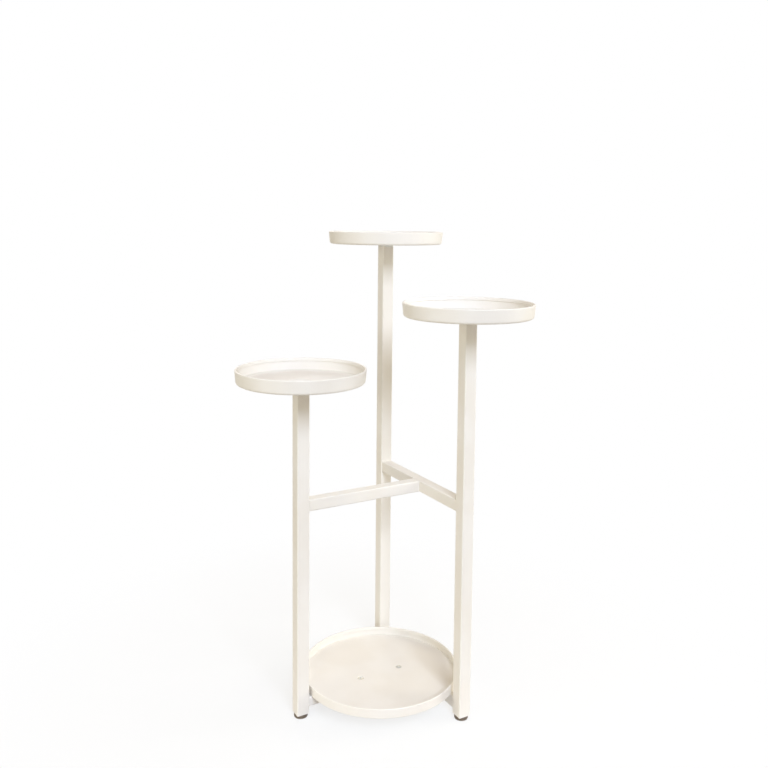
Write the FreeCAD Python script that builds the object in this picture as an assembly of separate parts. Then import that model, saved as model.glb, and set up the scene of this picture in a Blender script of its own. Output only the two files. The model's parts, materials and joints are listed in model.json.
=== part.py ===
import FreeCAD, Part
import math
import os

# Tiered plant stand: three square-tube legs of rising height, each with a round pressed tray on
# its top, held together by two T-shaped sets of rails, with a wider tray on the lower set.
# Lengths are in millimetres. +Z is up, +X runs from the low leg to the long rails and +Y from the
# middle leg to the high leg. The origin is on the floor, under the middle of the outline.

# Layout
low_rim_height = 540.0
rim_step = 100.0
mid_rail_height = 332.0
base_rail_rise = 6.3
base_tray_gap = 4.0
base_tray_offset = 3.0

# Leg tubes
leg_side = 20.0
leg_wall = 1.5
leg_corner = 2.0

# Rails, of which the short one under the wide tray is smaller
rail_side = 18.0
base_short_rail_side = 15.0
rail_wall = 1.5
rail_corner = 2.0

# Trays, pressed from one sheet with the lip folded over inwards
sheet = 1.5
hem_depth = 5.0
lip_round_share = 0.9
tray_radius = 97.5
tray_height = 21.0
tray_draft = 2.0
tray_corner = 4.0
base_tray_radius = 125.0
base_tray_height = 15.0
base_tray_draft = 0.2
base_tray_corner = 2.0

# Sunk seat in the middle of each upper tray
seat_radius = 16.0
seat_depth = 2.4
seat_slope = 3.0
seat_bend = 1.0

# Threaded inserts pressed into the ends of the legs
insert_cap = 2.0
top_insert_length = 20.0
foot_insert_length = 14.0
insert_fin_count = 4
insert_fin_thickness = 1.2
insert_fin_depth = 0.7
insert_fit = 0.1

# Spigots on the legs and long rails, which the rail ends slide over
spigot_length = 22.0
spigot_corner = 0.8
spigot_fit = 0.15
spigot_screw_share = 0.5

# Screws
thread_clearance = 0.05
hole_clearance = 0.2
head_round_share = 0.7
tray_screw_radius = 3.0
tray_screw_length = 16.0
tray_screw_head_radius = 6.0
tray_screw_head_height = 2.2
base_screw_radius = 2.5
base_screw_length = 9.0
base_screw_head_radius = 4.8
base_screw_head_depth = 2.5
base_screw_land = 0.3
base_screw_sink = 0.1
base_screw_spread_share = 0.28
lock_screw_radius = 2.0
lock_screw_length = 8.0
lock_screw_head_radius = 3.6
lock_screw_head_height = 1.9
lock_screw_tip_room = 1.0

# Levelling feet
pad_radius = 10.5
pad_height = 5.5
pad_edge = 1.6
pad_socket_depth = 3.5
stem_radius = 4.0
stem_reach = 22.0
stem_chamfer = 0.8
foot_gap = 0.3

# Working values
overrun = 1.0
touching = 1e-6
full_turn = 360.0
up = FreeCAD.Vector(0, 0, 1)
down = FreeCAD.Vector(0, 0, -1)
toward_long_rail = FreeCAD.Vector(1, 0, 0)
toward_low_leg = FreeCAD.Vector(-1, 0, 0)
toward_high_leg = FreeCAD.Vector(0, 1, 0)
toward_middle_leg = FreeCAD.Vector(0, -1, 0)

# Places worked out from the sizes above: the legs stand on the corners of an even triangle
leg_circle_radius = base_tray_radius + base_tray_gap + leg_side / 2 + base_tray_offset
leg_half_spacing = leg_circle_radius * math.sin(math.radians(60))
leg_half_depth = leg_circle_radius * (1 + math.cos(math.radians(60))) / 2
leg_bottom = pad_height + foot_gap
base_tray_x = base_tray_gap + base_tray_radius + leg_side / 2 - leg_half_depth
base_rail_height = leg_bottom + base_rail_rise + rail_side / 2
base_tray_underside = base_rail_height + rail_side / 2
leg_places = {
    "low": FreeCAD.Vector(-leg_half_depth, 0, 0),
    "middle": FreeCAD.Vector(leg_half_depth, -leg_half_spacing, 0),
    "high": FreeCAD.Vector(leg_half_depth, leg_half_spacing, 0),
}
tray_undersides = {
    name: low_rim_height + rim_step * order - tray_height for order, name in enumerate(leg_places)
}


def rounded_outline(corners, radii):
    """Closed wire through the corners, each rounded by a tangent arc of its radius (0 is sharp)."""
    count = len(corners)
    starts = []
    middles = []
    ends = []
    for index, corner in enumerate(corners):
        back = (corners[index - 1] - corner).normalize()
        ahead = (corners[(index + 1) % count] - corner).normalize()
        half_angle = back.getAngle(ahead) / 2
        reach = radii[index] / math.tan(half_angle)
        inward = (back + ahead).normalize()
        starts.append(corner + back * reach)
        ends.append(corner + ahead * reach)
        middles.append(corner + inward * radii[index] * (1 / math.sin(half_angle) - 1))
    edges = []
    for index in range(count):
        following = (index + 1) % count
        if radii[index] > 0:
            edges.append(Part.Arc(starts[index], middles[index], ends[index]).toShape())
        if ends[index].distanceToPoint(starts[following]) > touching:
            edges.append(Part.LineSegment(ends[index], starts[following]).toShape())
    return Part.Wire(edges)


def lathe(points, radii):
    """Solid turned about Z from an outline of (radius, height) points with rounded corners."""
    corners = [FreeCAD.Vector(radius, 0, height) for radius, height in points]
    section = Part.Face(rounded_outline(corners, radii))
    return section.revolve(FreeCAD.Vector(0, 0, 0), up, full_turn)


def square_bar(side, corner, length):
    """Bar of rounded square section along +Z, with its lower end at zero."""
    half = side / 2
    turns = ((-1, -1), (1, -1), (1, 1), (-1, 1))
    corners = [FreeCAD.Vector(half * across, half * along, 0) for across, along in turns]
    return Part.Face(rounded_outline(corners, [corner] * len(corners))).extrude(up * length)


def square_tube(side, wall, corner, length):
    """Tube of rounded square section along +Z, open at both ends."""
    bore = square_bar(side - 2 * wall, max(corner - wall, 0), length + 2 * overrun)
    bore.translate(down * overrun)
    return square_bar(side, corner, length).cut(bore)


def drill(radius, start, direction, depth):
    """Cylinder to cut a hole, entering a little before its start."""
    return Part.makeCylinder(radius, depth + overrun, start - direction * overrun, direction)


def set_along(shape, start, direction):
    """Turn a shape made along +Z to run along a direction from a start point."""
    shape.Placement = FreeCAD.Placement(start, FreeCAD.Rotation(up, direction))
    return shape


def screw(radius, length, head_radius, head_height):
    """Low round-headed screw along Z, with the underside of its head at zero."""
    points = [
        (0, -length),
        (radius, -length),
        (radius, 0),
        (head_radius, 0),
        (head_radius, head_height),
        (0, head_height),
    ]
    return lathe(points, [0, 0, 0, 0, head_height * head_round_share, 0])


def countersunk(radius, length, head_radius, head_depth, land):
    """Flat-headed screw along Z, with the top of its cone-shaped head at zero."""
    points = [
        (0, -length),
        (radius, -length),
        (radius, -head_depth),
        (head_radius, -land),
        (head_radius, 0),
        (0, 0),
    ]
    return lathe(points, [0] * len(points))


def countersink(place, clearance):
    """Cutter for a flat-headed screw whose head lies just under the surface at a place."""
    cutter = countersunk(
        base_screw_radius + clearance,
        base_screw_length + overrun,
        base_screw_head_radius + clearance,
        base_screw_head_depth + overrun,
        base_screw_land + overrun,
    )
    cutter.translate(place + up * (overrun - base_screw_sink))
    return cutter


def tray_rim(radius, height, draft, corner):
    """Outline of the floor's edge, the leaning wall and the folded lip, from outside to inside."""
    fold = 2 * sheet
    foot = radius - draft
    hem_foot = height - hem_depth
    wall_at_hem = foot + draft * hem_foot / height
    wall_at_floor = foot + draft * sheet / height
    lip_round = sheet * lip_round_share
    points = [
        (foot, 0),
        (radius, height),
        (radius - fold, height),
        (wall_at_hem - fold, hem_foot),
        (wall_at_hem - sheet, hem_foot),
        (wall_at_floor - sheet, sheet),
    ]
    return points, [corner, lip_round, lip_round, 0, 0, max(corner - sheet, 0)]


def upper_tray():
    """Tray whose floor dips to a round seat, with the screw's hole in the middle of the seat."""
    hole = tray_screw_radius + hole_clearance
    bend_shift = sheet * math.tan(math.atan2(seat_depth, seat_slope) / 2)
    seat_edge = seat_radius + seat_slope
    rim_points, rim_radii = tray_rim(tray_radius, tray_height, tray_draft, tray_corner)
    points = [(hole, -seat_depth), (seat_radius, -seat_depth), (seat_edge, 0)]
    points += rim_points
    points += [
        (seat_edge - bend_shift, sheet),
        (seat_radius - bend_shift, sheet - seat_depth),
        (hole, sheet - seat_depth),
    ]
    radii = [0, seat_bend, seat_bend] + rim_radii + [seat_bend, seat_bend, 0]
    return lathe(points, radii)


def base_tray():
    """Wide low tray with a flat floor, drilled for the screws that hold it to the short rail."""
    rim_points, rim_radii = tray_rim(
        base_tray_radius, base_tray_height, base_tray_draft, base_tray_corner
    )
    tray = lathe([(0, 0)] + rim_points + [(0, sheet)], [0] + rim_radii + [0])
    tray.translate(FreeCAD.Vector(base_tray_x, 0, base_tray_underside))
    for place in base_screw_places:
        tray = tray.cut(countersink(place, hole_clearance))
    return tray


def tube_insert(length, cap, bore):
    """Finned square insert for the end of a leg, hanging down from a cap that stands on zero."""
    snug = leg_side - 2 * leg_wall - 2 * insert_fit
    snug_corner = max(leg_corner - leg_wall, 0)
    body = square_bar(snug - 2 * insert_fin_depth, snug_corner, length + cap)
    body.translate(down * length)
    pitch = (length - insert_fin_thickness) / (insert_fin_count - 1)
    for order in range(insert_fin_count):
        fin = square_bar(snug, snug_corner, insert_fin_thickness)
        fin.translate(down * (insert_fin_thickness + pitch * order))
        body = body.fuse(fin)
    if cap > 0:
        body = body.fuse(square_bar(leg_side, leg_corner, cap))
    drop = length + cap
    return body.removeSplitter().cut(drill(bore, up * cap, down, drop + overrun))


def rail(side, start, end, hole_places):
    """Rail tube between two points, with its lock screws' holes through the underside."""
    length = start.distanceToPoint(end)
    tube = set_along(square_tube(side, rail_wall, rail_corner, length), start, end - start)
    for place in hole_places:
        tube = tube.cut(drill(lock_screw_radius + hole_clearance, place, up, rail_wall + overrun))
    return tube


def spigot(side, start, direction):
    """Solid square peg inside a rail's end, with a threaded hole in its underside."""
    peg_side = side - 2 * rail_wall - 2 * spigot_fit
    peg = set_along(square_bar(peg_side, spigot_corner, spigot_length), start, direction)
    mouth = start + direction * spigot_length * spigot_screw_share + down * peg_side / 2
    depth = lock_screw_length + lock_screw_tip_room
    return peg.cut(drill(lock_screw_radius + thread_clearance, mouth, up, depth))


def lock_screw_place(side, start, direction):
    """Point on the underside of the rail where a spigot's lock screw goes in."""
    return start + direction * spigot_length * spigot_screw_share + down * side / 2


def rail_set(height, short_side):
    """One T of rails, level along the top: long rail, short rail, their spigots and lock screws."""
    level = up * height
    short_height = height + (rail_side - short_side) / 2
    long_start = leg_places["middle"] + toward_high_leg * leg_side / 2 + level
    long_end = leg_places["high"] + toward_middle_leg * leg_side / 2 + level
    short_start = leg_places["low"] + toward_long_rail * leg_side / 2 + up * short_height
    short_end = FreeCAD.Vector(leg_half_depth - rail_side / 2, 0, short_height)
    long_seats = [
        (rail_side, long_start, toward_high_leg),
        (rail_side, long_end, toward_middle_leg),
    ]
    short_seats = [
        (short_side, short_start, toward_long_rail),
        (short_side, short_end, toward_low_leg),
    ]
    seats = long_seats + short_seats
    long_holes = [lock_screw_place(*seat) for seat in long_seats]
    short_holes = [lock_screw_place(*seat) for seat in short_seats]
    long_rail = rail(rail_side, long_start, long_end, long_holes)
    short_rail = rail(short_side, short_start, short_end, short_holes)
    spigots = Part.makeCompound([spigot(*seat) for seat in seats])
    lock_screws = []
    for seat in seats:
        fastener = screw(lock_screw_radius, lock_screw_length, lock_screw_head_radius, lock_screw_head_height)
        lock_screws.append(set_along(fastener, lock_screw_place(*seat), down))
    return long_rail, short_rail, spigots, Part.makeCompound(lock_screws)


def foot_pad():
    """Round glide with a rounded lower edge and a blind socket for its stem."""
    points = [(0, 0), (pad_radius, 0), (pad_radius, pad_height), (0, pad_height)]
    pad = lathe(points, [0, pad_edge, 0, 0])
    return pad.cut(drill(stem_radius + thread_clearance, up * pad_height, down, pad_socket_depth))


def foot_stem():
    """Threaded stem that stands in the pad's socket, with a chamfered tip."""
    length = pad_socket_depth + stem_reach
    stem = Part.makeCylinder(stem_radius, length - stem_chamfer)
    tip = Part.makeCone(stem_radius, stem_radius - stem_chamfer, stem_chamfer, up * (length - stem_chamfer))
    stem = stem.fuse(tip).removeSplitter()
    stem.translate(up * (pad_height - pad_socket_depth))
    return stem


# Screws that hold the wide tray, in a row along the short rail
base_screw_spread = base_tray_radius * base_screw_spread_share
base_floor = base_tray_underside + sheet
base_screw_places = [
    FreeCAD.Vector(base_tray_x + base_screw_spread * side, 0, base_floor) for side in (-1, 1)
]

pieces = {}

# Legs with their trays, inserts and feet
tray_screws = []
for leg_name, place in leg_places.items():
    underside = tray_undersides[leg_name]
    seat = underside - seat_depth
    leg_top = seat - insert_cap
    leg = square_tube(leg_side, leg_wall, leg_corner, leg_top - leg_bottom)
    leg.translate(place + up * leg_bottom)
    tray = upper_tray()
    tray.translate(place + up * underside)
    top_insert = tube_insert(top_insert_length, insert_cap, tray_screw_radius + thread_clearance)
    top_insert.translate(place + up * leg_top)
    foot_insert = tube_insert(foot_insert_length, 0, stem_radius + thread_clearance)
    set_along(foot_insert, place + up * leg_bottom, down)
    tray_screw = screw(tray_screw_radius, tray_screw_length, tray_screw_head_radius, tray_screw_head_height)
    tray_screw.translate(place + up * (seat + sheet))
    tray_screws.append(tray_screw)
    pad = foot_pad()
    pad.translate(place)
    stem = foot_stem()
    stem.translate(place)
    pieces[leg_name + "_leg"] = leg
    pieces[leg_name + "_tray"] = tray
    pieces[leg_name + "_top_insert"] = top_insert
    pieces[leg_name + "_foot_insert"] = foot_insert
    pieces[leg_name + "_foot_pad"] = pad
    pieces[leg_name + "_foot_stem"] = stem
pieces["tray_screws"] = Part.makeCompound(tray_screws)

# The two sets of rails
for set_name, height, short_side in (
    ("mid", mid_rail_height, rail_side),
    ("base", base_rail_height, base_short_rail_side),
):
    long_rail, short_rail, spigots, lock_screws = rail_set(height, short_side)
    pieces[set_name + "_long_rail"] = long_rail
    pieces[set_name + "_short_rail"] = short_rail
    pieces[set_name + "_rail_spigots"] = spigots
    pieces[set_name + "_rail_lock_screws"] = lock_screws

# The wide tray on the lower rails
pieces["base_tray"] = base_tray()
base_screws = []
for place in base_screw_places:
    base_screw = countersunk(
        base_screw_radius,
        base_screw_length,
        base_screw_head_radius,
        base_screw_head_depth,
        base_screw_land,
    )
    base_screw.translate(place + down * base_screw_sink)
    base_screws.append(base_screw)
    pieces["base_short_rail"] = pieces["base_short_rail"].cut(countersink(place, thread_clearance))
pieces["base_tray_screws"] = Part.makeCompound(base_screws)

os.makedirs("parts", exist_ok=True)
for node, shape in pieces.items():
    shape.exportStep(os.path.join("parts", node + ".step"))
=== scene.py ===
import json
import logging
import math
from dataclasses import dataclass, field, replace
from enum import Enum
from typing import Any

import bpy
import numpy as np
from mathutils import Euler, Matrix, Vector


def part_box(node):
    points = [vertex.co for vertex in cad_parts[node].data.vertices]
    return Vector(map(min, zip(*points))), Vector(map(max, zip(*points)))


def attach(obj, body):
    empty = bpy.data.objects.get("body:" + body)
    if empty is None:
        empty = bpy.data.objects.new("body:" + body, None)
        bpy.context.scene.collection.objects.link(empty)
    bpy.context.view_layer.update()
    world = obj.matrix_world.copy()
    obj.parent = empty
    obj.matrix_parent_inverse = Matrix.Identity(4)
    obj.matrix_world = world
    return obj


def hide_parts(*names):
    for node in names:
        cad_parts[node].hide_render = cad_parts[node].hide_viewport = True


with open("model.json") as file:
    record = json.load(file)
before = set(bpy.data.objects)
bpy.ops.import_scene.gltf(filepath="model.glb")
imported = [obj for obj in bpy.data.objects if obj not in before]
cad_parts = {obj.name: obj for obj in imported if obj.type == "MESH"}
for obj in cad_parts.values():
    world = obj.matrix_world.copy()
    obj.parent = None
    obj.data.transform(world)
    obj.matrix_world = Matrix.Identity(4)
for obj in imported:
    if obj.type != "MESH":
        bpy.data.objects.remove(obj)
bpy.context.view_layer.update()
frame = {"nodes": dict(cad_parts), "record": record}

log = logging.getLogger("plant_stand")

MM = 0.001
MICRON = 0.000001
FULL_TURN = 2 * math.pi
QUARTER_TURN = FULL_TURN / 4
SIXTH_TURN = FULL_TURN / 6
SQUARE_CORNERS = 4
HOLD_POINTS = 2
THREAD_DEPTH_SHARE = 0.61
RINGS_PER_PITCH = 8
STAND = "stand"

Array = np.ndarray
Pair = tuple[float, float]
Triple = tuple[float, float, float]
Colour = tuple[float, float, float, float]


class Slot(Enum):
    """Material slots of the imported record."""

    POWDER_COAT = "powder_coat"
    ZINC_STEEL = "zinc_steel"
    DARK_NYLON = "dark_nylon"


class Tier(Enum):
    """The three legs, named by the height of their trays."""

    LOW = "low"
    MIDDLE = "middle"
    HIGH = "high"


class Level(Enum):
    """The two sets of rails."""

    MID = "mid"
    BASE = "base"


class Axis(Enum):
    """Directions that a tube runs along, as the row's axes in the order across, across, along."""

    X = (1, 2, 0)
    Y = (2, 0, 1)
    Z = (0, 1, 2)


# Shapes as whole arrays


@dataclass
class Surface:
    """A mesh in arrays: points in metres, faces of four and three corners, and a wear-and-shade value per
    point.

    Wear is above zero on outer edges, which rub, and below zero in inner corners, on screw shanks and
    stems and in sockets, where it darkens the colour: painted shade with dust on the coat, and painted
    shade with grime on the zinc.
    """

    points: Array
    quads: Array
    wear_and_shade: Array
    triangles: Array = field(default_factory=lambda: np.zeros((0, 3), int))

    def moved(self, offset: Any) -> "Surface":
        """Returns this surface shifted by an offset in metres."""
        return replace(self, points=self.points + np.array(offset))

    def upended(self) -> "Surface":
        """Returns this surface turned half a turn about X, which points its +Z end down."""
        return replace(self, points=self.points * np.array((1, -1, -1)))


def directions(angle: Array) -> Array:
    """Unit vectors (cos t, sin t) of an array of angles."""
    return np.stack((np.cos(angle), np.sin(angle)), axis=-1)


def steps_round(segments: int) -> Array:
    """Angles of equal steps in a full turn."""
    return np.arange(segments) * FULL_TURN / segments


def arc_wear(count: int) -> Array:
    """Wear along the points of an arc, from 0 at its ends to 1 in its middle."""
    return np.sin(np.linspace(0, math.pi, count))


def unit(vectors: Array) -> Array:
    """Vectors in rows, each scaled to a length of 1."""
    return vectors / np.linalg.norm(vectors, axis=1, keepdims=True)


def crossed(first: Array, second: Array) -> Array:
    """Cross products of flat vectors in rows."""
    return first[:, 0] * second[:, 1] - first[:, 1] * second[:, 0]


def joined(surfaces: list[Surface]) -> Surface:
    """Puts several surfaces into one set of arrays.

    Args:
        surfaces: the surfaces to join.

    Returns:
        One surface that holds them all, with its corner numbers counted on from one to the next.
    """
    starts = np.cumsum([0] + [len(surface.points) for surface in surfaces[:-1]])
    return Surface(
        np.concatenate([surface.points for surface in surfaces]),
        np.concatenate([surface.quads + start for surface, start in zip(surfaces, starts)]),
        np.concatenate([surface.wear_and_shade for surface in surfaces]),
        np.concatenate([surface.triangles + start for surface, start in zip(surfaces, starts)]),
    )


def welded(surface: Surface, tolerance: float) -> Surface:
    """Merges points that lie in the same place, which closes the seams between joined surfaces.

    Args:
        surface: a surface with doubled points along its seams.
        tolerance: the size of the cells within which points are taken as one.

    Returns:
        The same faces on single points.
    """
    cells = np.round(surface.points / tolerance).astype(np.int64)
    _, first, numbers = np.unique(cells, axis=0, return_index=True, return_inverse=True)
    numbers = numbers.reshape(-1)
    return Surface(
        surface.points[first], numbers[surface.quads], surface.wear_and_shade[first], numbers[surface.triangles]
    )


def grid_quads(rows: int, columns: int, wrap_rows: bool) -> Array:
    """Corner numbers for a grid whose columns close on themselves.

    Args:
        rows: number of rings.
        columns: number of points in each ring.
        wrap_rows: whether the last ring joins the first.

    Returns:
        Four corner numbers per face, turned so that the face looks along (column step) x (row step).
    """
    row = np.arange(rows if wrap_rows else rows - 1)[:, None]
    column = np.arange(columns)[None, :]
    after = (row + 1) % rows
    beside = (column + 1) % columns
    corners = (
        row * columns + column,
        row * columns + beside,
        after * columns + beside,
        after * columns + column,
    )
    return np.stack(corners, axis=-1).reshape(-1, 4)


def rounded_outline(corners: Array, radii: Array, steps: int, hold: float) -> tuple[Array, Array]:
    """A closed outline with a tangent arc at each corner and a holding point on each side of the arc.

    The arc's centre lies on the corner's bisector at radius / sin(half angle), and its ends lie at
    radius / tan(half angle) along both sides. The holding points keep smooth shading off the flats.

    Args:
        corners: the corner points, in order, one row each.
        radii: the arc's radius at each corner.
        steps: number of steps along each arc.
        hold: how far the holding points stand from the arcs, up to a third of a side's straight part.

    Returns:
        The outline's points, and their wear-and-shade values: up to 1 on outer corners for wear, and down
        to -1 in inner ones for painted shade.
    """
    following = np.roll(corners, -1, axis=0)
    back = unit(np.roll(corners, 1, axis=0) - corners)
    ahead = unit(following - corners)
    half = np.arccos(np.clip((back * ahead).sum(axis=1), -1, 1)) / 2
    reach = radii / np.tan(half)
    centre = corners + unit(back + ahead) * (radii / np.sin(half))[:, None]
    start = corners + back * reach[:, None]
    end = corners + ahead * reach[:, None]
    spare = np.linalg.norm(following - corners, axis=1) - reach - np.roll(reach, -1)
    hold_ahead = np.minimum(hold, spare / 3)
    hold_back = np.roll(hold_ahead, 1)
    side = np.sign(crossed(back, ahead))
    sweep = -side * (math.pi - 2 * half)
    first = np.arctan2(start[:, 1] - centre[:, 1], start[:, 0] - centre[:, 0])
    angle = first[:, None] + sweep[:, None] * np.linspace(0, 1, steps + 1)
    arc = centre[:, None] + radii[:, None, None] * directions(angle)
    lead_in = (start + back * hold_back[:, None])[:, None]
    lead_out = (end + ahead * hold_ahead[:, None])[:, None]
    points = np.concatenate((lead_in, arc, lead_out), axis=1)
    winding = np.sign(crossed(corners, following).sum())
    wear_and_shade = np.pad(arc_wear(steps + 1), 1) * (-side * winding)[:, None]
    return points.reshape(-1, 2), wear_and_shade.reshape(-1)


def lifted(flat: Array, height: Array) -> Array:
    """Points of flat rings, an array of (ring, step, 2), with each ring lifted to its height."""
    level = np.broadcast_to(height[:, None, None], flat.shape[:2] + (1,))
    return np.concatenate((flat, level), axis=-1).reshape(-1, 3)


def rings_round(radius: Array, height: Array, segments: int) -> Array:
    """Points of level rings round Z: x = r(i, t) cos t, y = r(i, t) sin t, z = h(i)."""
    return lifted(radius[..., None] * directions(steps_round(segments)), height)


def turned_band(outline: Array, wear_and_shade: Array, segments: int, closed: bool) -> Surface:
    """Turns an anticlockwise outline of (radius, height) about Z, as one ring for each of its points."""
    points = rings_round(outline[:, :1], outline[:, 1], segments)
    return Surface(points, grid_quads(len(outline), segments, closed), np.repeat(wear_and_shade, segments))


def polar_solid(radius: Array, height: Array, wear_and_shade: Array) -> Surface:
    """Closes a stack of rings between two poles on Z.

    Args:
        radius: radius of each ring at each step round the axis, from the lowest ring to the last.
        height: height of each ring.
        wear_and_shade: value of each ring, above zero for wear and below zero for painted shade.

    Returns:
        A closed surface, fanned to a point at the middle of its first and last rings.
    """
    rings, segments = radius.shape
    points = rings_round(radius, height, segments)
    poles = np.array(((0, 0, height[0]), (0, 0, height[-1])))
    pole = len(points)
    column = np.arange(segments)
    beside = (column + 1) % segments
    last = (rings - 1) * segments
    start_fan = np.stack((np.full(segments, pole), beside, column), axis=-1)
    end_fan = np.stack((np.full(segments, pole + 1), last + column, last + beside), axis=-1)
    return Surface(
        np.concatenate((points, poles)),
        grid_quads(rings, segments, False),
        np.concatenate((np.repeat(wear_and_shade, segments), np.zeros(len(poles)))),
        np.concatenate((start_fan, end_fan)),
    )


def thread_depth(along: Array, segments: int, pitch: float) -> Array:
    """Depth of a right-hand thread: share * pitch * |2 fraction(z / pitch - turn) - 1| at (ring, step)."""
    turn = np.arange(segments) / segments
    return THREAD_DEPTH_SHARE * pitch * np.abs(2 * np.mod(along[:, None] / pitch - turn, 1) - 1)


def box_of(node: str) -> tuple[Array, Array]:
    """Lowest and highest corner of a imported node, as arrays in metres."""
    low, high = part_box(node)
    return np.array(low), np.array(high)


def base_of(node: str) -> Array:
    """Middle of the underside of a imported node's box."""
    low, high = box_of(node)
    return np.append((low + high)[:2] / 2, low[2])


def added(name: str, data: bpy.types.ID) -> bpy.types.Object:
    """Adds an object with this data to the scene."""
    made = bpy.data.objects.new(name, data)
    bpy.context.scene.collection.objects.link(made)
    return made


# Materials


class Wire:
    """A shader socket that takes part in Python sums, each of which adds its Math node."""

    def __init__(self, graph: "Graph", socket: bpy.types.NodeSocket) -> None:
        """Holds a socket and the graph that it belongs to."""
        self.graph = graph
        self.socket = socket

    def _sum(self, operation: str, first: Any, second: Any) -> "Wire":
        """Adds one Math node and returns its result."""
        sockets = {"Value": first, "Value_001": second}
        return self.graph.node("ShaderNodeMath", {"operation": operation}, sockets)["Value"]

    def __add__(self, other: Any) -> "Wire":
        """This value plus another."""
        return self._sum("ADD", self, other)

    __radd__ = __add__

    def __sub__(self, other: Any) -> "Wire":
        """This value less another."""
        return self._sum("SUBTRACT", self, other)

    def __rsub__(self, other: Any) -> "Wire":
        """Another value less this one."""
        return self._sum("SUBTRACT", other, self)

    def __mul__(self, other: Any) -> "Wire":
        """This value times another."""
        return self._sum("MULTIPLY", self, other)

    __rmul__ = __mul__

    def at_least(self, other: Any) -> "Wire":
        """The larger of this value and another."""
        return self._sum("MAXIMUM", self, other)


class Graph:
    """A node tree, with one method that adds any node."""

    def __init__(self, tree: bpy.types.NodeTree) -> None:
        """Empties a tree and holds it."""
        self.tree = tree
        self.tree.nodes.clear()

    def node(self, kind: str, settings: dict[str, Any], sockets: dict[str, Any]) -> dict[str, Wire]:
        """Adds a node.

        Args:
            kind: the node's type.
            settings: its own settings, set before its sockets are filled.
            sockets: values or wires by the identifier of an input socket.

        Returns:
            The node's output sockets, as wires, by their identifiers.
        """
        made = self.tree.nodes.new(kind)
        for key, value in settings.items():
            setattr(made, key, value)
        inputs = {socket.identifier: socket for socket in made.inputs}
        for key, value in sockets.items():
            if isinstance(value, Wire):
                self.tree.links.new(value.socket, inputs[key])
            else:
                inputs[key].default_value = value
        return {socket.identifier: Wire(self, socket) for socket in made.outputs}

    def coordinates(self) -> Wire:
        """Object coordinates: the row frame's in metres, or in a sky the direction looked along."""
        return self.node("ShaderNodeTexCoord", {}, {})["Object"]

    def stretched(self, where: Wire, scale: Triple) -> Wire:
        """Coordinates multiplied by a scale along each axis."""
        sockets = {"Vector": where, "Vector_001": scale}
        return self.node("ShaderNodeVectorMath", {"operation": "MULTIPLY"}, sockets)["Vector"]

    def height(self, where: Wire) -> Wire:
        """Upward part of coordinates, which on a piece is its height above the floor."""
        return self.node("ShaderNodeSeparateXYZ", {}, {"Vector": where})["Z"]

    def step(self, value: Wire, between: Pair) -> Wire:
        """Smooth step that is 0 below the first value and 1 above the second."""
        sockets = {"Value": value, "From Min": between[0], "From Max": between[1]}
        return self.node("ShaderNodeMapRange", {"interpolation_type": "SMOOTHSTEP"}, sockets)["Result"]

    def mix(self, factor: Wire, first: Any, second: Any) -> Wire:
        """Mixes two colours."""
        sockets = {"Factor_Float": factor, "A_Color": first, "B_Color": second}
        return self.node("ShaderNodeMix", {"data_type": "RGBA"}, sockets)["Result_Color"]

    def mix_shaders(self, factor: Wire, first: Wire, second: Wire) -> Wire:
        """Mixes two shaders."""
        sockets = {"Fac": factor, "Shader": first, "Shader_001": second}
        return self.node("ShaderNodeMixShader", {}, sockets)["Shader"]

    def wear_and_shade(self) -> Wire:
        """The piece's own wear-and-shade value: above 0 for wear, below 0 for painted shade, and 0 where a
        node has none.
        """
        return self.node("ShaderNodeAttribute", {"attribute_name": "wear_and_shade"}, {})["Fac"]

    def bump(self, relief: Wire, strength: float, distance: float) -> Wire:
        """Normal of a surface with a relief."""
        sockets = {"Height": relief, "Strength": strength, "Distance": distance}
        return self.node("ShaderNodeBump", {}, sockets)["Normal"]


class Paint(Graph):
    """A material's node tree."""

    def __init__(self, name: str) -> None:
        """Starts an empty material."""
        self.material = bpy.data.materials.new(name)
        self.material.use_nodes = True
        super().__init__(self.material.node_tree)

    def principled(self, sockets: dict[str, Any]) -> bpy.types.Material:
        """Joins a Principled shader with these inputs to the output and returns the material."""
        return self.ended(self.node("ShaderNodeBsdfPrincipled", {}, sockets)["BSDF"])

    def ended(self, shader: Wire) -> bpy.types.Material:
        """Joins a shader to the output and returns the material."""
        self.node("ShaderNodeOutputMaterial", {}, {"Surface": shader})
        return self.material


def colour(red: float, green: float, blue: float) -> Colour:
    """A linear colour with full alpha."""
    return red, green, blue, 1.0


@dataclass(frozen=True)
class Speckle:
    """One layer of noise: its features to the metre, its detail and the step that it is cut to."""

    scale: float
    detail: float
    between: Pair = (0.0, 1.0)
    roughness: float = 0.5

    def raw(self, where: Wire) -> Wire:
        """The noise as it is, from 0 to 1."""
        fineness = {"Scale": self.scale, "Detail": self.detail, "Roughness": self.roughness}
        return where.graph.node("ShaderNodeTexNoise", {}, {"Vector": where, **fineness})["Fac"]

    def cut(self, where: Wire) -> Wire:
        """The noise cut to its step."""
        return where.graph.step(self.raw(where), self.between)


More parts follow.
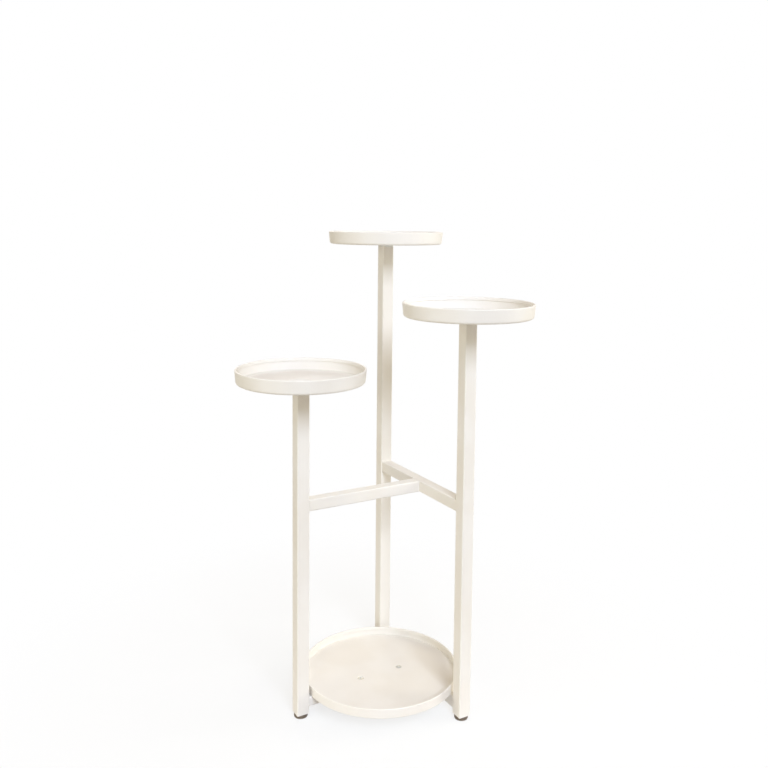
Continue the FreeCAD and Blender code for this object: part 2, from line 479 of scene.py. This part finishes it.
@dataclass(frozen=True)
class PowderCoat:
    """Warm white powder coat: a pebbled skin, a little mottled, rubbed on edges, and darker in inner
    corners with painted shade and dust.
    """

    slot: Slot = Slot.POWDER_COAT
    base: Colour = colour(0.87, 0.85, 0.81)
    warm: Colour = colour(0.84, 0.81, 0.755)
    scuff: Colour = colour(0.64, 0.61, 0.56)
    rubbed: Colour = colour(0.92, 0.91, 0.885)
    # Painted shade with dust: the darker, warmer colour of inner corners.
    shade_and_dust: Colour = colour(0.60, 0.565, 0.50)
    mottle: Speckle = Speckle(scale=13.0, detail=3.0, between=(0.34, 0.7))
    peel: Speckle = Speckle(scale=560.0, detail=1.0)
    grain: Speckle = Speckle(scale=3000.0, detail=2.0)
    marks: Speckle = Speckle(scale=75.0, detail=6.0, between=(0.63, 0.74), roughness=0.68)
    patches: Speckle = Speckle(scale=95.0, detail=4.0, between=(0.36, 0.72))
    drag: Triple = (1.0, 1.0, 0.16)
    scuffed_heights: Pair = (6 * MM, 75 * MM)
    roughness: float = 0.42
    mottle_roughness: float = 0.1
    grain_roughness: float = 0.06
    scuff_roughness: float = 0.16
    edge_polish: float = 0.12
    dust_roughness: float = 0.2
    specular: float = 0.4
    peel_depth: float = 0.2 * MM
    peel_strength: float = 0.45
    peel_share: float = 0.75
    scuff_share: float = 0.05
    low_scuff_share: float = 0.12
    edge_share: float = 0.5
    shade_and_dust_share: float = 0.45

    def material(self) -> bpy.types.Material:
        """Builds the material from noise on the row's own coordinates."""
        paint = Paint(self.slot.value)
        where = paint.coordinates()
        wear_and_shade = paint.wear_and_shade()
        mottle = self.mottle.cut(where)
        peel = self.peel.raw(where)
        grain = self.grain.raw(where)
        patches = self.patches.cut(where)
        low_down = 1 - paint.step(paint.height(where), self.scuffed_heights)
        marks = self.marks.cut(paint.stretched(where, self.drag))
        scuffed = marks * (self.scuff_share + self.low_scuff_share * low_down)
        edge = wear_and_shade.at_least(0.0) * patches
        # Inner corners, where the wear value is below zero: painted shade with dust, mixed in below.
        corner = (0.0 - wear_and_shade).at_least(0.0)
        body = paint.mix(mottle, self.base, self.warm)
        body = paint.mix(scuffed, body, self.scuff)
        body = paint.mix(edge * self.edge_share, body, self.rubbed)
        body = paint.mix(corner * self.shade_and_dust_share, body, self.shade_and_dust)
        rough = self.roughness + self.mottle_roughness * mottle + self.grain_roughness * grain
        rough = rough + self.scuff_roughness * scuffed + self.dust_roughness * corner
        relief = peel * self.peel_share + grain * (1 - self.peel_share)
        return paint.principled({
            "Base Color": body,
            "Roughness": rough - self.edge_polish * edge,
            "Specular IOR Level": self.specular,
            "Normal": paint.bump(relief, self.peel_strength, self.peel_depth),
        })


@dataclass(frozen=True)
class ZincPlate:
    """Bright zinc plate on steel: a faint warm tint in clouds, fine turning marks, dull spots, grime on
    shanks and stems, and painted shade in sockets.
    """

    slot: Slot = Slot.ZINC_STEEL
    base: Colour = colour(0.56, 0.56, 0.54)
    tint: Colour = colour(0.62, 0.57, 0.46)
    # Dull zinc for spots, and the darkening of grime and painted shade.
    dull_and_shade: Colour = colour(0.34, 0.34, 0.33)
    clouds: Speckle = Speckle(scale=160.0, detail=3.0, between=(0.35, 0.7))
    spots: Speckle = Speckle(scale=900.0, detail=5.0, between=(0.6, 0.72), roughness=0.7)
    lines: Speckle = Speckle(scale=900.0, detail=2.0)
    turning: Triple = (1.0, 1.0, 9.0)
    roughness: float = 0.3
    cloud_roughness: float = 0.14
    spot_roughness: float = 0.25
    grime_roughness: float = 0.2
    line_strength: float = 0.2
    line_depth: float = 0.04 * MM
    spot_share: float = 0.6
    grime_and_shade_share: float = 0.7

    def material(self) -> bpy.types.Material:
        """Builds the material from noise on the row's own coordinates."""
        paint = Paint(self.slot.value)
        where = paint.coordinates()
        clouds = self.clouds.cut(where)
        spots = self.spots.cut(where)
        lines = self.lines.raw(paint.stretched(where, self.turning))
        # Below-zero wear: grime along shanks and stems, and painted shade on the sockets' floors.
        grime_and_shade = (0.0 - paint.wear_and_shade()).at_least(0.0)
        body = paint.mix(clouds, self.base, self.tint)
        body = paint.mix(spots * self.spot_share, body, self.dull_and_shade)
        body = paint.mix(grime_and_shade * self.grime_and_shade_share, body, self.dull_and_shade)
        rough = self.roughness + self.cloud_roughness * clouds
        rough = rough + self.spot_roughness * spots + self.grime_roughness * grime_and_shade
        return paint.principled({
            "Base Color": body,
            "Metallic": 1.0,
            "Roughness": rough,
            "Normal": paint.bump(lines, self.line_strength, self.line_depth),
        })


@dataclass(frozen=True)
class MouldedNylon:
    """Dark brown moulded nylon with a spark-eroded skin, paler where it rubs."""

    slot: Slot = Slot.DARK_NYLON
    base: Colour = colour(0.125, 0.097, 0.070)
    pale: Colour = colour(0.25, 0.20, 0.155)
    clouds: Speckle = Speckle(scale=240.0, detail=3.0, between=(0.3, 0.75))
    skin: Speckle = Speckle(scale=2600.0, detail=2.0)
    rubs: Speckle = Speckle(scale=420.0, detail=4.0, between=(0.35, 0.7))
    roughness: float = 0.52
    cloud_roughness: float = 0.12
    rub_polish: float = 0.1
    skin_strength: float = 0.35
    skin_depth: float = 0.06 * MM
    cloud_share: float = 0.35
    rub_share: float = 0.55

    def material(self) -> bpy.types.Material:
        """Builds the material from noise on the row's own coordinates."""
        paint = Paint(self.slot.value)
        where = paint.coordinates()
        clouds = self.clouds.cut(where)
        rubbed = paint.wear_and_shade().at_least(0.0) * self.rubs.cut(where)
        pale = clouds * self.cloud_share + rubbed * self.rub_share
        skin = self.skin.raw(where)
        return paint.principled({
            "Base Color": paint.mix(pale, self.base, self.pale),
            "Roughness": self.roughness + self.cloud_roughness * clouds - self.rub_polish * rubbed,
            "Normal": paint.bump(skin, self.skin_strength, self.skin_depth),
        })


# Pieces


@dataclass(frozen=True)
class Finishes:
    """The stand's materials by the record's slots, and the making of pieces in them."""

    materials: dict[Slot, bpy.types.Material]

    def dress_nodes(self) -> None:
        """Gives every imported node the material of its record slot, for those that stay in view."""
        for subpart in frame["record"]["subparts"]:
            finish = self.materials[Slot(subpart["material_slot"])]
            for slot in frame["nodes"][subpart["node"]].material_slots:
                slot.material = finish

    def make(self, node: str, kind: str, surface: Surface, slot: Slot, body: str = STAND) -> None:
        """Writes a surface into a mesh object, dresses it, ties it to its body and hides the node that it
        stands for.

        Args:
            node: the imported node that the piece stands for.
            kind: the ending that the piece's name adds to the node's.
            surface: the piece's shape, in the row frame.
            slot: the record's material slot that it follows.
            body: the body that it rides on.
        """
        mesh = bpy.data.meshes.new(node + kind)
        corners = np.concatenate((surface.quads.reshape(-1), surface.triangles.reshape(-1)))
        sizes = np.repeat((4, 3), (len(surface.quads), len(surface.triangles)))
        mesh.vertices.add(len(surface.points))
        mesh.vertices.foreach_set("co", surface.points.reshape(-1))
        mesh.loops.add(len(corners))
        mesh.loops.foreach_set("vertex_index", corners)
        mesh.polygons.add(len(sizes))
        mesh.polygons.foreach_set("loop_start", np.cumsum(sizes) - sizes)
        mesh.polygons.foreach_set("use_smooth", np.ones(len(sizes), bool))
        mesh.update(calc_edges=True)
        wear_and_shade = mesh.attributes.new("wear_and_shade", "FLOAT", "POINT")
        wear_and_shade.data.foreach_set("value", surface.wear_and_shade.astype(np.float32))
        mesh.materials.append(self.materials[slot])
        piece = added(node + kind, mesh)
        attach(piece, body)
        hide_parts(node)
        log.info("%s: %d faces on %s", piece.name, len(sizes), body)


# Tubes


@dataclass
class SquareTube:
    """A square tube with rounded corners, open ends and softly broken end edges."""

    node: str
    axis: Axis
    wall: float = 1.5 * MM
    corner: float = 2.0 * MM
    least_corner: float = 0.4 * MM
    end_round: float = 0.45 * MM
    hold: float = 0.35 * MM
    corner_steps: int = 8
    end_steps: int = 5

    def section(self, half: Array, corner: Array) -> Array:
        """Rounded squares, one per row, each with holding points beside its corner arcs.

        A corner's arc is (h - c) (sign, sign) + c (cos t, sin t) over a quarter turn.

        Args:
            half: half the side of each square.
            corner: corner radius of each square.

        Returns:
            Points of each square, anticlockwise, as an array of (row, point, 2).
        """
        quarter = steps_round(SQUARE_CORNERS)[:, None]
        arc = directions(quarter + np.linspace(0, QUARTER_TURN, self.corner_steps + 1))
        diagonal = math.sqrt(2) * directions(quarter + QUARTER_TURN / 2)
        first_way = directions(quarter - QUARTER_TURN)
        last_way = -directions(quarter)
        straight = (half - corner)[:, None, None, None]
        rounded = straight * diagonal + corner[:, None, None, None] * arc
        lead_in = rounded[:, :, :1] + self.hold * first_way
        lead_out = rounded[:, :, -1:] + self.hold * last_way
        return np.concatenate((lead_in, rounded, lead_out), axis=2).reshape(len(half), -1, 2)

    def surface(self) -> Surface:
        """Carries the rounded square along the tube's wall, outside and then back inside.

        The wall's own outline is a long rectangle of (depth into the wall, distance along the tube)
        with rounded ends. At each of its points the square is smaller by the depth on every side.

        Returns:
            A closed surface in the row frame.
        """
        low, high = box_of(self.node)
        across, _, along = self.axis.value
        start, end = low[along], high[along]
        wall = np.array(((0, start), (0, end), (self.wall, end), (self.wall, start)))
        rounding = np.full(len(wall), self.end_round)
        outline, end_wear = rounded_outline(wall, rounding, self.end_steps, self.hold)
        depth, distance = outline[:, 0], outline[:, 1]
        half = (high[across] - low[across]) / 2 - depth
        square = self.section(half, np.maximum(self.corner - depth, self.least_corner))
        local = lifted(square, distance)
        points = np.empty_like(local)
        points[:, self.axis.value] = local
        centre = (low + high) / 2
        centre[along] = 0
        corner_wear = np.tile(np.pad(arc_wear(self.corner_steps + 1), 1), SQUARE_CORNERS)
        outside = (depth < self.wall / 2)[:, None]
        wear_and_shade = np.maximum(end_wear[:, None], corner_wear * outside)
        return Surface(points + centre, grid_quads(*square.shape[:2], True), wear_and_shade.reshape(-1))

    def build(self, finishes: Finishes) -> None:
        """Makes the tube as a piece that stands for its node."""
        finishes.make(self.node, "_tube", self.surface(), Slot.POWDER_COAT)


# Trays


@dataclass
class PressedRim:
    """The edge of a pressed tray: coved corner, leaning wall and a lip folded over inwards."""

    node: str
    height: float
    draft: float
    corner: float
    sheet: float = 1.5 * MM
    hem_depth: float = 5.0 * MM
    lip_round_share: float = 0.9
    crease: float = 0.25 * MM
    arc_steps: int = 8
    segments: int = 216

    @property
    def lip_round(self) -> float:
        """Radius of the lip's outer and inner edges."""
        return self.sheet * self.lip_round_share

    @property
    def radius(self) -> float:
        """Radius to the sharp corner of the lip, which its rounding keeps just inside of."""
        low, high = box_of(self.node)
        lean = math.atan2(self.draft, self.height)
        rounded_off = self.lip_round * ((1 + math.sin(lean)) / math.cos(lean) - 1)
        return (high[0] - low[0]) / 2 + rounded_off

    @property
    def place(self) -> Array:
        """Middle of the underside of the tray's floor."""
        low, high = box_of(self.node)
        return np.append((low + high)[:2] / 2, high[2] - self.height)

    def rim(self) -> list[Triple]:
        """Corners of the rim as (radius, height, rounding), from the underside to the floor inside."""
        fold = 2 * self.sheet
        foot = self.radius - self.draft
        hem_foot = self.height - self.hem_depth
        wall_at_hem = foot + self.draft * hem_foot / self.height
        wall_at_floor = foot + self.draft * self.sheet / self.height
        return [
            (foot, 0, self.corner),
            (self.radius, self.height, self.lip_round),
            (self.radius - fold, self.height, self.lip_round),
            (wall_at_hem - fold, hem_foot, 2 * self.crease),
            (wall_at_hem - self.sheet, hem_foot, self.crease),
            (wall_at_floor - self.sheet, self.sheet, self.corner - self.sheet),
        ]

    def outline(self, corners: list[Triple]) -> tuple[Array, Array]:
        """Points and wear-and-shade values of a closed section with its corners rounded."""
        table = np.array(corners)
        return rounded_outline(table[:, :2], table[:, 2], self.arc_steps, self.crease)

    def put(self, surface: Surface, finishes: Finishes) -> None:
        """Sets the tray in its place as a piece that stands for its node."""
        finishes.make(self.node, "_pressing", surface.moved(self.place), Slot.POWDER_COAT)


@dataclass
class SeatedTray(PressedRim):
    """A tray whose floor dips to a round seat with the screw's hole in its middle."""

    seat_radius: float = 16.0 * MM
    seat_slope: float = 3.0 * MM
    seat_depth: float = 2.4 * MM
    seat_bend: float = 1.2 * MM
    hole_radius: float = 3.2 * MM

    @property
    def screw_place(self) -> Array:
        """Middle of the seat's upper face, where the screw's head sits."""
        return self.place + np.array((0, 0, self.sheet - self.seat_depth))

    def build(self, finishes: Finishes) -> None:
        """Turns the sheet's closed section about the tray's middle."""
        edge = self.seat_radius + self.seat_slope
        shift = self.sheet * math.tan(math.atan2(self.seat_depth, self.seat_slope) / 2)
        under = [
            (self.hole_radius, -self.seat_depth, self.crease),
            (self.seat_radius, -self.seat_depth, self.seat_bend),
            (edge, 0, self.seat_bend),
        ]
        inside = [
            (edge - shift, self.sheet, self.seat_bend),
            (self.seat_radius - shift, self.sheet - self.seat_depth, self.seat_bend),
            (self.hole_radius, self.sheet - self.seat_depth, self.crease),
        ]
        outline, wear_and_shade = self.outline(under + self.rim() + inside)
        self.put(turned_band(outline, wear_and_shade, self.segments, True), finishes)


@dataclass
class WideTray(PressedRim):
    """The wide lower tray, whose flat floor has two countersunk holes on a line along X."""

    spread: float = 35.0 * MM
    sink_radius: float = 5.0 * MM
    hole_radius: float = 3.0 * MM
    hole_apron: float = 1.0 * MM
    floor_share: float = 0.86
    hole_wear: float = 0.6
    divider_steps: int = 48

    @property
    def hole_places(self) -> list[Array]:
        """Middles of the two holes, level with the floor's upper face."""
        return [self.place + np.array((self.spread * side, 0, self.sheet)) for side in (-1, 1)]

    def floor_half(self, side: int, edge: float) -> Surface:
        """One half of the floor, with a countersunk hole through it.

        Each column starts at a point on the half's outline, runs straight to the hole's edge on the
        top, down the hole's cone, and straight back out to the same point on the underside:
        p = hole + distance (unit vector from the hole to the outline), with a height for each row.

        Args:
            side: -1 for the half at lower X and 1 for the other.
            edge: radius of the floor's outline.

        Returns:
            The floor's top, the hole's wall and the floor's underside as one open surface.
        """
        half_count = self.segments // 2
        arc_angle = (np.arange(half_count + 1) - half_count / 2) * FULL_TURN / self.segments
        arc = edge * directions(arc_angle)
        divider = np.linspace(edge, -edge, self.divider_steps + 1)[1:-1]
        chord = np.stack((np.zeros_like(divider), divider), axis=-1)
        outline = np.concatenate((arc, chord)) * side
        hole = np.array((side * self.spread, 0))
        distance = np.linalg.norm(outline - hole, axis=1)
        way = unit(outline - hole)
        crease, sheet, wear_and_shade = self.crease, self.sheet, self.hole_wear
        rings = np.array((
            (self.sink_radius + self.hole_apron, sheet, 0),
            (self.sink_radius + crease, sheet, wear_and_shade),
            (self.sink_radius, sheet - crease, wear_and_shade),
            (self.hole_radius, crease, 0),
            (self.hole_radius + crease, 0, 0),
            (self.hole_radius + self.hole_apron, 0, 0),
        ))
        count = len(outline)
        reach = np.concatenate((distance[None], np.repeat(rings[:, :1], count, axis=1), distance[None]))
        level = np.concatenate(((sheet,), rings[:, 1], (0,)))
        points = lifted(hole + reach[..., None] * way, level)
        ring_wear = np.pad(rings[:, 2], 1)
        return Surface(points, grid_quads(len(level), count, False), np.repeat(ring_wear, count))

    def build(self, finishes: Finishes) -> None:
        """Turns the rim about the tray's middle and closes it with the two halves of the floor."""
        edge = self.radius * self.floor_share
        under, inside = (edge, 0, self.crease), (edge, self.sheet, self.crease)
        outline, wear_and_shade = self.outline([under] + self.rim() + [inside])
        end = self.arc_steps + 1 + HOLD_POINTS
        band = np.concatenate((np.array((under[:2],)), outline[end:-end], np.array((inside[:2],))))
        ring = turned_band(band, np.pad(wear_and_shade[end:-end], 1), self.segments, False)
        halves = [self.floor_half(side, edge) for side in (-1, 1)]
        self.put(welded(joined([ring] + halves), MICRON), finishes)


# Screws and feet


@dataclass(frozen=True)
class Screw:
    """A screw along Z with a hexagon socket.

    The underside of a button head, or the flat top of a flush head, lies at zero height.
    """

    radius: float
    length: float
    head_radius: float
    head_height: float
    pitch: float
    socket_width: float
    socket_depth: float
    flush: bool = False
    head_round_share: float = 0.7
    shank_wear: float = -0.3
    # Darkens the socket's floor as painted shade.
    socket_shade: float = -1.0
    land: float = 0.3 * MM
    crease: float = 0.12 * MM
    dome_steps: int = 8
    segments: int = 48

    def head_rings(self) -> Array:
        """Radius and height of the head's rings, from its underside to its flat top."""
        crease = self.crease
        if self.flush:
            return np.array((
                (self.radius, -self.head_height),
                (self.head_radius - crease, -self.land - crease),
                (self.head_radius, -self.land),
                (self.head_radius, -crease),
                (self.head_radius - crease, 0),
                (self.head_radius - 2 * crease, 0),
            ))
        under = np.array((
            (self.radius + crease, 0),
            (self.head_radius - crease, 0),
            (self.head_radius, crease),
        ))
        bend = self.head_height * self.head_round_share
        dome = bend * directions(np.linspace(0, QUARTER_TURN, self.dome_steps + 1))
        return np.concatenate((under, dome + (self.head_radius - bend, self.head_height - bend)))

    def surface(self) -> Surface:
        """Stacks the thread, the head and the socket as rings round Z.

        The thread's radius is r - depth, faded to the root over the first pitch at the tip. The socket
        is a hexagon, whose radius is half its width over cos(angle to the nearest flat's middle).

        Returns:
            A closed surface along Z.
        """
        head = self.head_rings()
        shank_top = head[0, 1]
        count = int((self.length + shank_top) / self.pitch * RINGS_PER_PITCH)
        along = np.linspace(-self.length, shank_top, count)
        depth = thread_depth(along, self.segments, self.pitch)
        root = self.radius - THREAD_DEPTH_SHARE * self.pitch
        fade = np.clip((along + self.length) / self.pitch, 0, 1)[:, None]
        shank = (self.radius - depth) * fade + root * (1 - fade)
        to_flat = np.mod(steps_round(self.segments), SIXTH_TURN) - SIXTH_TURN / 2
        hexagon = self.socket_width / 2 / np.cos(to_flat)
        top = head[-1, 1]
        floor = top - self.socket_depth
        round_rows = np.append(head[:, 0], hexagon.max() + 2 * self.crease)
        socket_rows = np.array((self.crease, 0, 0, -self.crease))
        rows = (
            shank,
            np.repeat(round_rows[:, None], self.segments, axis=1),
            hexagon + socket_rows[:, None],
        )
        levels = (top, top, top - self.crease, floor + self.crease, floor)
        height = np.concatenate((along, head[:, 1], levels))
        wear_and_shade = np.zeros(len(height))
        # Grime darkens the shank, and the socket's floor gets painted shade.
        wear_and_shade[:count] = self.shank_wear
        # The last two rings are the socket's floor, which is darkened with painted shade
        wear_and_shade[-2:] = self.socket_shade
        return polar_solid(np.concatenate(rows), height, wear_and_shade)

    def build_set(
        self, node: str, places: list[Array], finishes: Finishes, head_down: bool = False
    ) -> None:
        """Makes screws with their zero heights at these places, as one piece that stands for a node."""
        one = self.surface().upended() if head_down else self.surface()
        finishes.make(node, "_set", joined([one.moved(place) for place in places]), Slot.ZINC_STEEL)


@dataclass
class Foot:
    """A levelling foot: a round nylon glide and the threaded stem that stands in it."""

    body: str
    edge: float = 1.6 * MM
    top_edge: float = 0.5 * MM
    hold: float = 0.12 * MM
    socket_radius: float = 4.05 * MM
    socket_depth: float = 3.5 * MM
    groove_depth: float = 0.35 * MM
    groove_shares: tuple[float, ...] = (0.3, 0.48, 0.66)
    groove_half_share: float = 0.035
    pitch: float = 1.25 * MM
    top_wear: float = 0.8
    stem_wear: float = -0.2
    tip: float = 0.8 * MM
    edge_steps: int = 8
    segments: int = 72

    def pad_surface(self, radius: float, height: float) -> Surface:
        """Turns the glide's outline: grooved underside, rounded edge, top and the stem's socket.

        Args:
            radius: the glide's radius.
            height: the glide's height.

        Returns:
            A closed surface whose underside stands at zero height, centred on Z.
        """
        # A groove's corners, in half widths of its floor from its middle
        offsets = np.array((-2, -1, 1, 2)) * self.groove_half_share
        groove_radius = radius * (np.array(self.groove_shares)[:, None] + offsets)
        groove_height = np.broadcast_to((0, self.groove_depth, self.groove_depth, 0), groove_radius.shape)
        grooves = np.stack((groove_radius, groove_height), axis=-1).reshape(-1, 2)
        bend = self.edge * directions(np.linspace(-QUARTER_TURN, 0, self.edge_steps + 1))
        bend = bend + (radius - self.edge, self.edge)
        shoulder = radius - self.top_edge
        socket_floor = height - self.socket_depth
        upper = np.array((
            (radius, height - self.top_edge - self.hold, 0),
            (radius, height - self.top_edge, self.top_wear),
            (shoulder, height, self.top_wear),
            (shoulder - self.hold, height, 0),
            (self.socket_radius + self.hold, height, 0),
            (self.socket_radius, height - self.hold, 0),
            (self.socket_radius, socket_floor + self.hold, 0),
            (self.socket_radius - self.hold, socket_floor, 0),
        ))
        outline = np.concatenate((grooves, bend, upper[:, :2]))
        wear_and_shade = np.concatenate((np.zeros(len(grooves)), arc_wear(len(bend)), upper[:, 2]))
        return polar_solid(np.repeat(outline[:, :1], self.segments, axis=1), outline[:, 1], wear_and_shade)

    def stem_surface(self, radius: float, length: float) -> Surface:
        """Winds a thread round the stem and tapers its tip.

        The thread's radius is r - depth, and within the tip it is held under r less the distance past
        the tip's start.

        Args:
            radius: the stem's outer radius.
            length: the stem's length.

        Returns:
            A closed surface that starts at zero height, centred on Z.
        """
        along = np.linspace(0, length, int(length / self.pitch * RINGS_PER_PITCH))
        depth = thread_depth(along, self.segments, self.pitch)
        past_tip = np.maximum(along - (length - self.tip), 0)
        ring = np.minimum(radius - depth, (radius - past_tip)[:, None])
        return polar_solid(ring, along, np.full(len(along), self.stem_wear))

    def build(self, finishes: Finishes) -> None:
        """Makes the glide and its stem as pieces that stand for their nodes."""
        for part, shape, slot in (
            ("_pad", self.pad_surface, Slot.DARK_NYLON),
            ("_stem", self.stem_surface, Slot.ZINC_STEEL),
        ):
            node = self.body + part
            low, high = box_of(node)
            width, _, height = high - low
            surface = shape(width / 2, height).moved(base_of(node))
            finishes.make(node, "_shape", surface, slot, self.body)


# The whole stand


@dataclass
class Stand:
    """The plant stand's legs, trays, rails, screws and feet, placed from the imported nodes."""

    tray_height: float = 21.0 * MM
    tray_draft: float = 2.0 * MM
    tray_corner: float = 4.0 * MM
    base_height: float = 15.0 * MM
    base_draft: float = 0.2 * MM
    base_corner: float = 2.0 * MM
    lock_inset: float = 11.0 * MM
    flush_sink: float = 0.1 * MM
    tray_screw: Screw = Screw(
        radius=3.0 * MM, length=16.0 * MM, head_radius=6.0 * MM, head_height=2.2 * MM,
        pitch=1.0 * MM, socket_width=4.0 * MM, socket_depth=1.5 * MM,
    )
    base_screw: Screw = Screw(
        radius=2.5 * MM, length=9.0 * MM, head_radius=4.8 * MM, head_height=2.5 * MM,
        pitch=0.8 * MM, socket_width=3.0 * MM, socket_depth=1.6 * MM, flush=True,
    )
    lock_screw: Screw = Screw(
        radius=2.0 * MM, length=8.0 * MM, head_radius=3.6 * MM, head_height=1.9 * MM,
        pitch=0.7 * MM, socket_width=2.5 * MM, socket_depth=1.3 * MM,
    )

    def build(self, finishes: Finishes) -> None:
        """Makes every piece of the stand, from the legs to the feet."""
        for tier in Tier:
            SquareTube(tier.value + "_leg", Axis.Z).build(finishes)
        for level in Level:
            self.build_rails(level, finishes)
        self.build_trays(finishes)
        for tier in Tier:
            Foot(tier.value + "_foot").build(finishes)

    def build_rails(self, level: Level, finishes: Finishes) -> None:
        """Makes one set of rails and the screws under their ends."""
        places = []
        for kind, axis in (("_long_rail", Axis.Y), ("_short_rail", Axis.X)):
            rail = SquareTube(level.value + kind, axis)
            rail.build(finishes)
            low, high = box_of(rail.node)
            along = axis.value[-1]
            for distance in (low[along] + self.lock_inset, high[along] - self.lock_inset):
                place = base_of(rail.node)
                place[along] = distance
                places.append(place)
        self.lock_screw.build_set(level.value + "_rail_lock_screws", places, finishes, head_down=True)

    def build_trays(self, finishes: Finishes) -> None:
        """Makes the three upper trays, the wide tray and the screws that hold them."""
        places = []
        for tier in Tier:
            tray = SeatedTray(tier.value + "_tray", self.tray_height, self.tray_draft, self.tray_corner)
            tray.build(finishes)
            places.append(tray.screw_place)
        self.tray_screw.build_set("tray_screws", places, finishes)
        wide = WideTray("base_tray", self.base_height, self.base_draft, self.base_corner)
        wide.build(finishes)
        places = [place - np.array((0, 0, self.flush_sink)) for place in wide.hole_places]
        self.base_screw.build_set("base_tray_screws", places, finishes)


# Camera and light


@dataclass(frozen=True)
class PhotoCamera:
    """The photograph's camera, fitted to the edges of the legs, rails and trays."""

    place: Triple = (-0.6027, -1.1142, 0.7592)
    heading: float = math.radians(29.734)
    pitch: float = math.radians(5.080)
    roll: float = math.radians(0.529)
    focal_pixels: float = 830.223
    middle_row: float = 294.1
    frame_pixels: float = 768.0
    sensor: float = 36.0

    def build(self) -> None:
        """Makes the camera and gives it to the scene."""
        data = bpy.data.cameras.new("photo_camera")
        data.sensor_width = self.sensor
        data.lens = self.focal_pixels / self.frame_pixels * self.sensor
        data.shift_y = self.middle_row / self.frame_pixels - 0.5
        camera = added(data.name, data)
        turn = Euler((QUARTER_TURN - self.pitch, 0, -self.heading)).to_matrix().to_4x4()
        roll = Matrix.Rotation(self.roll, 4, "Z")
        camera.matrix_world = Matrix.Translation(self.place) @ turn @ roll
        bpy.context.scene.camera = camera


@dataclass(frozen=True)
class Softbox:
    """A square area lamp aimed at a point on the stand."""

    name: str
    place: Triple
    side: float
    power: float
    tint: Triple
    aim: Triple = (0.0, 0.0, 0.4)

    def build(self) -> None:
        """Makes the lamp."""
        data = bpy.data.lights.new(self.name, "AREA")
        data.shape = "SQUARE"
        data.size = self.side
        data.energy = self.power
        data.color = self.tint
        turn = (Vector(self.aim) - Vector(self.place)).to_track_quat("-Z", "Y").to_matrix().to_4x4()
        added(self.name, data).matrix_world = Matrix.Translation(self.place) @ turn


@dataclass(frozen=True)
class Studio:
    """A clear floor that shows only shadows, under soft light and against plain white."""

    floor_half: float = 9.0
    floor_bounce: Colour = colour(0.4, 0.37, 0.32)
    near_bounce: Colour = colour(0.82, 0.78, 0.73)
    near_reach: Pair = (0.25, 0.55)
    floor_seen: Colour = colour(0.943, 0.97, 1.0)
    white: Colour = colour(1.0, 1.0, 1.0)
    horizon: Colour = colour(0.12, 0.096, 0.072)
    zenith: Colour = colour(1.0, 0.84, 0.68)
    zenith_rise: Pair = (0.2, 0.9)
    sky_strength: float = 0.63
    shadow_share: float = 0.25
    shadow_reach: Pair = (0.2, 0.75)
    lamps: tuple[Softbox, ...] = (
        Softbox("key", place=(-0.8, -4.2, 3.4), side=1.9, power=199.0, tint=(0.765, 0.845, 1.0)),
        Softbox("right", place=(3.2, -1.6, 1.4), side=1.8, power=66.0, tint=(1.0, 0.95, 0.78)),
        Softbox("left", place=(-3.4, -0.4, 0.9), side=1.8, power=44.0, tint=(1.0, 0.97, 0.80)),
        Softbox("back", place=(0.8, 3.6, 1.8), side=1.8, power=25.0, tint=(1.0, 0.95, 0.85)),
    )

    def build(self) -> None:
        """Makes the floor, the sky and the lamps, and sets the view transform."""
        bpy.context.scene.view_settings.view_transform = "Standard"
        self.build_floor()
        self.build_sky()
        for lamp in self.lamps:
            lamp.build()

    def seen(self, graph: Graph) -> Wire:
        """1 for what is looked at straight, in a mirror or through glass, and 0 for light on its way."""
        path = graph.node("ShaderNodeLightPath", {}, {})
        return path["Is Camera Ray"].at_least(path["Is Glossy Ray"]).at_least(path["Is Transmission Ray"])

    def build_floor(self) -> None:
        """A flat floor that shows the stand's shadow over the plain white behind it, and no more.

        It is clear between the shadows, so that a foot screwed down past its level still shows.
        """
        half = self.floor_half
        mesh = bpy.data.meshes.new("floor")
        corners = [(-half, -half, 0), (half, -half, 0), (half, half, 0), (-half, half, 0)]
        mesh.from_pydata(corners, [], [(0, 1, 2, 3)])
        paint = Paint("floor")
        where = {"Vector": paint.coordinates()}
        away = paint.node("ShaderNodeVectorMath", {"operation": "LENGTH"}, where)["Value"]
        near, far, matt = (
            paint.node("ShaderNodeBsdfDiffuse", {}, {"Color": tint})["BSDF"]
            for tint in (self.near_bounce, self.floor_bounce, self.floor_seen)
        )
        clear = paint.node("ShaderNodeBsdfTransparent", {}, {"Color": self.white})["BSDF"]
        shadow = self.shadow_share * (1 - paint.step(away, self.shadow_reach))
        bounce = paint.mix_shaders(paint.step(away, self.near_reach), near, far)
        shown = paint.mix_shaders(shadow, clear, matt)
        mesh.materials.append(paint.ended(paint.mix_shaders(self.seen(paint), bounce, shown)))
        stage = added("floor", mesh)

    def build_sky(self) -> None:
        """Light from all round, strongest from above and seen as plain white.

        A sky's coordinates are the direction looked along, so their height is the sine of its rise.
        """
        world = bpy.data.worlds.new("sky")
        world.use_nodes = True
        bpy.context.scene.world = world
        graph = Graph(world.node_tree)
        rise = graph.step(graph.height(graph.coordinates()), self.zenith_rise)
        sky = {"Color": graph.mix(rise, self.horizon, self.zenith), "Strength": self.sky_strength}
        plain = {"Color": self.white, "Strength": 1.0}
        light, white = (
            graph.node("ShaderNodeBackground", {}, sockets)["Background"] for sockets in (sky, plain)
        )
        mixed = graph.mix_shaders(self.seen(graph), light, white)
        graph.node("ShaderNodeOutputWorld", {}, {"Surface": mixed})


def main() -> None:
    """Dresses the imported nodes, builds the stand's pieces, then sets up the camera and the studio."""
    logging.basicConfig(level=logging.INFO)
    kinds = (PowderCoat(), ZincPlate(), MouldedNylon())
    finishes = Finishes({kind.slot: kind.material() for kind in kinds})
    finishes.dress_nodes()
    Stand().build(finishes)
    PhotoCamera().build()
    Studio().build()


if __name__ == "__main__":
    main()
